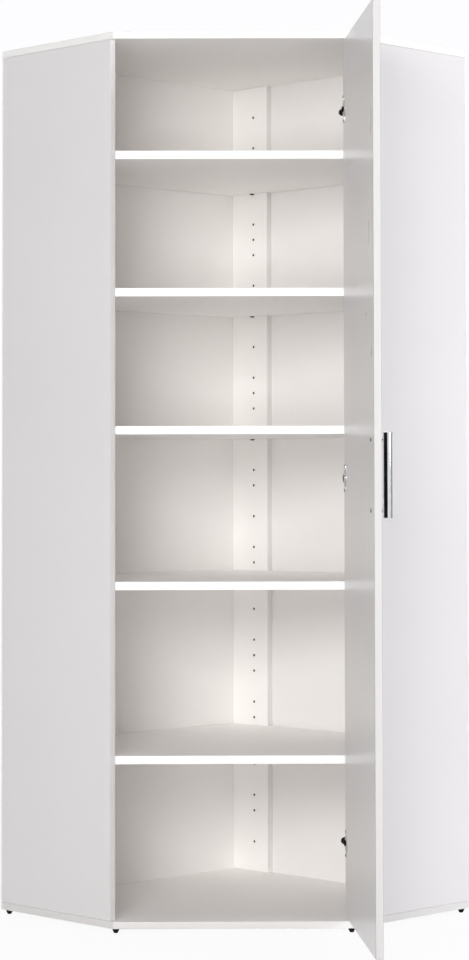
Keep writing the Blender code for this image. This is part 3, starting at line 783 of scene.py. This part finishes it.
inwards = leaf_way(0.0, 1.0)
leaf_spots = [(on_leaf(CUP_MIDDLE, FLANGE_FACE, hinge_height(hinge) + side * CUP_SCREW_REACH),
               inwards, *CUP_SCREW) for hinge in HINGES for side in (-1, 1)]
handle_screw_nodes = ("handle_screw_lower", "handle_screw_upper")
for node_name in handle_screw_nodes:
    low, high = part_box(node_name)
    leaf_spots.append((on_leaf(HANDLE_MIDDLE, HANDLE_SCREW_SEAT, (low.z + high.z) / 2),
                       inwards, *HANDLE_SCREW))
screws("door_screws", leaf_spots, "door", *handle_screw_nodes)
off_panel = wall_way(0.0, -1.0)
case_spots = [(by_panel(PLATE_MIDDLE, PLATE_EAR_FACE,
                        hinge_height(hinge) + side * PLATE_SCREW_REACH),
               off_panel, *PLATE_SCREW) for hinge in HINGES for side in (-1, 1)]
case_spots += [(by_panel(along, ARM_FACE, hinge_height(hinge)), off_panel, *ARM_SCREW)
               for hinge in HINGES for along in ARM_SCREWS]
screws("hinge_screws", case_spots, "case")

# %% [markdown]
# ## Caps of painted shade on the hinge arms
#
# The arms of the top and bottom hinge carry a rounded black cap at their bend, a dark dome put
# there as painted shade, which shows as a dark half disc beside the door. It is a flattened dome
# on the arm's own face: rings that shrink towards the top, boxier than a ball because the shares
# are raised to a power.

# %% Rounded caps of painted shade
CAP_LENGTH = 0.0090
CAP_HALF_HEIGHT = 0.0088
CAP_RISE = 0.0150
CAP_MIDDLE = -0.0030
CAP_FOOT = ARM_FACE - 0.0002
CAP_STEPS = 9
CAP_SIDES = 28
CAP_SHIFTS = {"hinge_top": -0.0030, "hinge_bottom": 0.0010}


def shade_cap_mesh(name, height):
    """A dome on the face of a hinge arm, centred at a height."""
    shape = bmesh.new()
    rings = []
    for rise in quarter_turns(CAP_STEPS)[:-1]:
        share, lift = math.cos(rise) ** 0.6, math.sin(rise) ** 0.9
        rings.append(ring_of(shape, [by_panel(CAP_MIDDLE + CAP_LENGTH * share * math.cos(turn),
                                              CAP_FOOT + CAP_RISE * lift,
                                              height + CAP_HALF_HEIGHT * share * math.sin(turn))
                                     for turn in full_turn(CAP_SIDES)]))
    tip = shape.verts.new(by_panel(CAP_MIDDLE, CAP_FOOT + CAP_RISE, height))
    skin(shape, rings)
    for i in range(CAP_SIDES):
        shape.faces.new((rings[-1][i - 1], rings[-1][i], tip))
    shape.faces.new(rings[0])
    return closed_mesh(name, shape, arm_painted_shade)


for hinge, shift in CAP_SHIFTS.items():
    cap = new_piece(hinge + "_cap", shade_cap_mesh(hinge + "_cap", hinge_height(hinge) + shift),
                    "case", "black_plastic")
    eased_shading(cap)
print("caps on", list(CAP_SHIFTS))

# %% [markdown]
# ## Nails
#
# The thin rear panels are nailed on from behind, all round. Nails follow lines, so this tree
# gets lines instead of points: it turns each into a curve, walks along it in even steps and sets
# a small flat head at each step.

# %% The nail tree
nailing, given, made = geometry_tree("nail_rows", Nail_Spacing="Float", Head_Radius="Float",
                                     Head_Height="Float", Finish="Material")
rows = nailing.nodes.new("GeometryNodeMeshToCurve")
steps = nailing.nodes.new("GeometryNodeResampleCurve")
steps.mode = "LENGTH"
head = add_node(nailing, "GeometryNodeMeshCylinder", Vertices=10)
nails = nailing.nodes.new("GeometryNodeInstanceOnPoints")
real = nailing.nodes.new("GeometryNodeRealizeInstances")
last = nailing.nodes.new("GeometryNodeSetMaterial")
join(nailing, given, "Geometry", rows, "Mesh")
join(nailing, rows, "Curve", steps, "Curve")
join(nailing, given, "Nail Spacing", steps, "Length")
join(nailing, given, "Head Radius", head, "Radius")
join(nailing, given, "Head Height", head, "Depth")
join(nailing, steps, "Curve", nails, "Points")
join(nailing, head, "Mesh", nails, "Instance")
join(nailing, facing(nailing, "aim"), "Rotation", nails, "Rotation")
join(nailing, nails, "Instances", real, "Geometry")
join(nailing, real, "Geometry", last, "Geometry")
join(nailing, given, "Finish", last, "Material")
join(nailing, last, "Geometry", made, "Geometry")
print("nailing tree has", len(nailing.nodes), "nodes")

# %% Nail the rear panels
NAIL_HEAD = 0.0006
NAIL_HEAD_RADIUS = 0.0026
NAIL_SPACING = 0.155
NAIL_INSET = 0.008
CORNER_INSET = 0.017
UPRIGHT_START = 0.1
PANEL_TOP = 2.0
PANEL_FOOT = 0.010
WALL_LENGTH = 0.765


def nail_rows(across_way):
    """Four rows round one rear panel, each as its two ends."""
    low, high = PANEL_FOOT + NAIL_INSET, PANEL_TOP - NAIL_INSET
    near, far = CORNER_INSET, WALL_LENGTH - NAIL_INSET
    start, stop = low + UPRIGHT_START, high - UPRIGHT_START
    ends = [((near, low), (far, low)), ((near, high), (far, high)),
            ((far, start), (far, stop)), ((near, start), (near, stop))]
    return [tuple(across_way(along, height) for along, height in row) for row in ends]


rows_left = nail_rows(lambda along, height: in_room(along, 0.0, height))
rows_right = nail_rows(lambda along, height: in_room(0.0, along, height))
row_ends = [end for row in rows_left + rows_right for end in row]
aims = [wall_way(0.0, -1.0)] * (2 * len(rows_left))
aims += [wall_way(-1.0, 0.0)] * (2 * len(rows_right))
nail_lines = [(i, i + 1) for i in range(0, len(row_ends), 2)]
nail_piece = run_tree(nailing, "rear_nails",
                      places_mesh("nail_lines", row_ends, nail_lines, aim=aims),
                      Nail_Spacing=NAIL_SPACING, Head_Radius=NAIL_HEAD_RADIUS,
                      Head_Height=NAIL_HEAD, Finish=screw_nickel)
settle(nail_piece, "case", "nickel_screw")

# %% [markdown]
# ## Feet
#
# The body stands on five small glides of black plastic, pressed into the bottom panel. The
# frame has each as a plain disc. The real one narrows towards the floor like a turned button,
# so its outline is spun here ring by ring about its own upright, in the disc's own place.

# %% Turned feet
RING_SIDES = 32
# From the top down: a radius, and the share of the glide's height where it lies
FOOT_OUTLINE = ((0.0082, 1.0), (0.0084, 0.92), (0.0084, 0.62), (0.0079, 0.44), (0.0066, 0.26),
                (0.0052, 0.10), (0.0045, 0.03), (0.0040, 0.0))


def turned_foot(node):
    """A foot in the place of one glide, from shares of the glide's height."""
    low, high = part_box(node)
    middle = (low + high) / 2
    shape = bmesh.new()
    rings = []
    for radius, share in FOOT_OUTLINE:
        height = low.z + share * (high.z - low.z)
        rings.append(ring_of(shape, [(middle.x + radius * math.cos(turn),
                                      middle.y + radius * math.sin(turn), height)
                                     for turn in full_turn(RING_SIDES)]))
    skin(shape, rings)
    shape.faces.new(rings[0])
    shape.faces.new(rings[-1])
    return closed_mesh(node + "_foot", shape, black_plastic)


glides = [name for name in frame["nodes"] if name.startswith("glide")]
for node_name in glides:
    foot = new_piece(node_name + "_foot", turned_foot(node_name), "case", "black_plastic",
                     node_name)
    eased_shading(foot)
print("turned", len(glides), "feet")

# %% [markdown]
# ## The handle
#
# A bright bar stands off the door on two posts. In section it is a D: flat at the sides next to
# the door, then a half oval outwards, and that splits its reflections into a dark, a white and a
# grey stripe; the dark and the grey stripe are painted reflections of two cards that only mirrors
# see. The section is drawn once and carried up the bar ring by ring, and the rings shrink near
# both ends to round them. A smooth section matters more than anything else here, because chrome
# shows every facet.

# %% Chrome bar and posts
BAR_HALF_WIDTH = 0.0060
BAR_DOME = 0.0120
BAR_FLAT = 0.0080
BAR_EASE = 0.0012
BAR_END_ROUND = 0.0020
OUTER_FACE = -0.0080
STANDOFF = 0.0080
POST_RADIUS = 0.0045
POST_SINK = 0.0003
OVAL_STEPS = 16
EASE_STEPS = 4
END_STEPS = 5


def bar_section(less):
    """The D section about the line where its flats end, drawn smaller by an amount."""
    wide, dome, back = BAR_HALF_WIDTH - less, BAR_DOME - less, BAR_FLAT - less
    turns = quarter_turns(OVAL_STEPS)
    oval = [(wide * math.cos(t), -dome * math.sin(t)) for t in turns]
    oval += [(-wide * math.sin(t), -dome * math.cos(t)) for t in turns[1:]]
    ease = BAR_EASE
    rear = [(-wide + ease - ease * math.cos(t), back - ease + ease * math.sin(t))
            for t in quarter_turns(EASE_STEPS)]
    rear += [(wide - ease + ease * math.sin(t), back - ease + ease * math.cos(t))
             for t in quarter_turns(EASE_STEPS)]
    return oval + rear


def handle_mesh():
    """The bar with rounded ends, and its two posts."""
    low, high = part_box("door_handle")
    bar_line = OUTER_FACE - STANDOFF - BAR_FLAT
    rings = [(BAR_END_ROUND * (1 - math.sin(t)), low.z + BAR_END_ROUND * (1 - math.cos(t)))
             for t in quarter_turns(END_STEPS)]
    rings += [(less, low.z + high.z - height) for less, height in reversed(rings)]
    shape = bmesh.new()
    loops = [ring_of(shape, [on_leaf(HANDLE_MIDDLE + x, bar_line + y, height)
                             for x, y in bar_section(less)]) for less, height in rings]
    skin(shape, loops)
    shape.faces.new(loops[0])
    shape.faces.new(loops[-1])
    for node_name in handle_screw_nodes:
        screw_low, screw_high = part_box(node_name)
        height = (screw_low.z + screw_high.z) / 2
        circles = [ring_of(shape, [on_leaf(HANDLE_MIDDLE + POST_RADIUS * math.cos(t), y,
                                           height + POST_RADIUS * math.sin(t))
                                   for t in full_turn(RING_SIDES)])
                   for y in (OUTER_FACE - POST_SINK, bar_line + BAR_FLAT)]
        skin(shape, circles)
        for ring in circles:
            shape.faces.new(ring)
    return closed_mesh("handle", shape, chrome)


handle = new_piece("chrome_handle", handle_mesh(), "door", "chrome_bar", "door_handle")
handle.data.shade_smooth()
handle.data.set_sharp_from_angle(angle=math.radians(40.0))
weighted = handle.modifiers.new("flat_faces", "WEIGHTED_NORMAL")
weighted.weight = 100
weighted.keep_sharp = True
print("handle has", len(handle.data.polygons), "faces")

# %% [markdown]
# ## Floor, backdrop and light
#
# The studio is white all round. The floor is a pale matt sheet that mixes its own lit colour
# with plain white where the camera or a mirror looks at it, so it fades into the backdrop and
# still keeps a soft shadow. The main light is a wide soft lamp in front, left of the camera and a
# little above the cupboard, so a soft shadow falls along the left of each compartment. A low lamp
# fills the lower compartments, one from the right lights the right side panel, and two more,
# behind and above, keep the back and the top from going grey. White compartments are lit mostly by
# light that has bounced many times, so the number of bounces is raised.

# %% Looked at or lit
def looked_at(tree):
    """One for the camera's rays and for those of mirrors and glass, nought for the lamps'."""
    paths = tree.nodes.new("ShaderNodeLightPath")
    seen = tree.nodes.new("ShaderNodeMath")
    mirrored = tree.nodes.new("ShaderNodeMath")
    seen.operation = mirrored.operation = "MAXIMUM"
    join(tree, paths, "Is Glossy Ray", mirrored, 0)
    join(tree, paths, "Is Transmission Ray", mirrored, 1)
    join(tree, paths, "Is Camera Ray", seen, 0)
    join(tree, mirrored, 0, seen, 1)
    return seen


print("a surface can tell being looked at from being lit")

# %% Floor
HALF_FLOOR = 9.0
FLOOR_FADE = 0.93


def floor_material():
    """Pale floor: lit by the lamps, but mostly plain white to the camera and to mirrors."""
    material, tree, shader, place = new_material("studio_floor")
    shader.inputs["Base Color"].default_value = (0.86, 0.86, 0.86, 1.0)
    shader.inputs["Roughness"].default_value = 0.8
    bump(tree, shader, noise(tree, place, 40.0, 3.0), "Fac", 0.0002)
    white = add_node(tree, "ShaderNodeEmission", Color=(1.0, 1.0, 1.0, 1.0), Strength=1.0)
    mix = tree.nodes.new("ShaderNodeMixShader")
    join(tree, scaled(tree, looked_at(tree), 0, FLOOR_FADE), 0, mix, 0)
    join(tree, shader, "BSDF", mix, 1)
    join(tree, white, "Emission", mix, 2)
    join(tree, mix, 0, tree.nodes["Material Output"], "Surface")
    return material


floor_mesh = bpy.data.meshes.new("floor")
floor_mesh.from_pydata([(-HALF_FLOOR, -HALF_FLOOR, 0.0), (HALF_FLOOR, -HALF_FLOOR, 0.0),
                        (HALF_FLOOR, HALF_FLOOR, 0.0), (-HALF_FLOOR, HALF_FLOOR, 0.0)],
                       [], [(0, 1, 2, 3)])
floor_mesh.materials.append(floor_material())
floor = bpy.data.objects.new("floor", floor_mesh)
bpy.context.scene.collection.objects.link(floor)
print("floor is", 2 * HALF_FLOOR, "m square")

# %% White room
ROOM_LIGHT = 0.17

world = bpy.data.worlds.new("white_room")
bpy.context.scene.world = world
world.use_nodes = True
room = world.node_tree
background = room.nodes["Background"]
background.inputs["Color"].default_value = (0.985, 0.985, 1.0, 1.0)
level = room.nodes.new("ShaderNodeMapRange")
level.inputs["To Min"].default_value = ROOM_LIGHT
level.inputs["To Max"].default_value = 1.0
join(room, looked_at(room), 0, level, "Value")
join(room, level, "Result", background, "Strength")
print("room light", ROOM_LIGHT)

# %% Soft lamps
WARM = (1.0, 0.985, 0.97)
COOL = (0.98, 0.98, 1.0)
NEUTRAL = (1.0, 1.0, 1.0)


def soft_lamp(name, place, target, width, height, power, tint):
    """A lamp of a width and height at a place, facing a target; its power is in watts."""
    lamp_data = bpy.data.lights.new(name, "AREA")
    lamp_data.shape = "RECTANGLE"
    lamp_data.size, lamp_data.size_y = width, height
    lamp_data.energy = power
    lamp_data.color = tint
    lamp = bpy.data.objects.new(name, lamp_data)
    lamp.location = place
    aim = Vector(target) - Vector(place)
    lamp.rotation_euler = aim.to_track_quat("-Z", "Y").to_euler()
    bpy.context.scene.collection.objects.link(lamp)
    lamp.visible_camera = False


soft_lamp("front_softbox", (-1.1, -6.2, 2.2), (0.0, 0.0, 1.0), 2.2, 1.4, 194.0, WARM)
soft_lamp("low_softbox", (-1.0, -6.5, 0.5), (0.0, 0.0, 0.6), 1.4, 0.7, 80.0, WARM)
soft_lamp("right_softbox", (4.5, -3.2, 2.1), (0.3, 0.0, 1.2), 2.0, 2.0, 156.0, COOL)
soft_lamp("back_softbox", (0.0, 6.0, 2.2), (0.0, 0.5, 1.0), 2.0, 1.4, 110.0, WARM)
soft_lamp("top_softbox", (0.0, -0.3, 4.6), (0.0, 0.0, 2.0), 2.0, 2.0, 28.0, NEUTRAL)
bpy.context.scene.cycles.diffuse_bounces = 12

# %% Cards that put painted reflections into the chrome
CARD_DISTANCE = 3.0
CARD_FOOT, CARD_TOP = 0.1, 2.6


def mirror_card(name, bearing_from, bearing_to, finish):
    """An upright card that only mirrors see, round the handle at bearings in degrees; it is a
    painted reflection.

    Bearing 0 is straight towards the photographer, and 90 is to the right.
    """
    middle = on_leaf(HANDLE_MIDDLE, OUTER_FACE, 1.0)
    corners = []
    for bearing in (bearing_from, bearing_to):
        turn = math.radians(bearing)
        spot = middle + CARD_DISTANCE * Vector((math.sin(turn), -math.cos(turn), 0.0))
        corners += [(spot.x, spot.y, CARD_FOOT), (spot.x, spot.y, CARD_TOP)]
    mesh = bpy.data.meshes.new(name)
    mesh.from_pydata(corners, [], [(0, 1, 3, 2)])
    mesh.materials.append(finish)
    card = bpy.data.objects.new(name, mesh)
    bpy.context.scene.collection.objects.link(card)
    card.visible_camera = card.visible_diffuse = card.visible_shadow = False
    card.visible_transmission = card.visible_volume_scatter = False


# The black card paints a dark reflection into the chrome.
card_black = moulded("card_black", (0.001, 0.001, 0.001), 0.9)
shader = card_black.node_tree.nodes["Principled BSDF"]
shader.inputs["Specular IOR Level"].default_value = 0.0
# The grey card glows though it is no lamp, and only mirrors see it: a painted grey reflection.
card_grey, _, shader, _ = new_material("card_grey")
shader.inputs["Base Color"].default_value = (0.0, 0.0, 0.0, 1.0)
shader.inputs["Emission Color"].default_value = (0.36, 0.35, 0.36, 1.0)
shader.inputs["Emission Strength"].default_value = 1.0
mirror_card("black_card", 3.0, 17.0, card_black)
mirror_card("grey_card", 52.0, 120.0, card_grey)
print("cards stand", CARD_DISTANCE, "m from the handle")

# %% [markdown]
# ## Last line
#
# The last line sets the Standard view transform.

# %% Standard view transform
bpy.context.scene.view_settings.view_transform = "Standard"
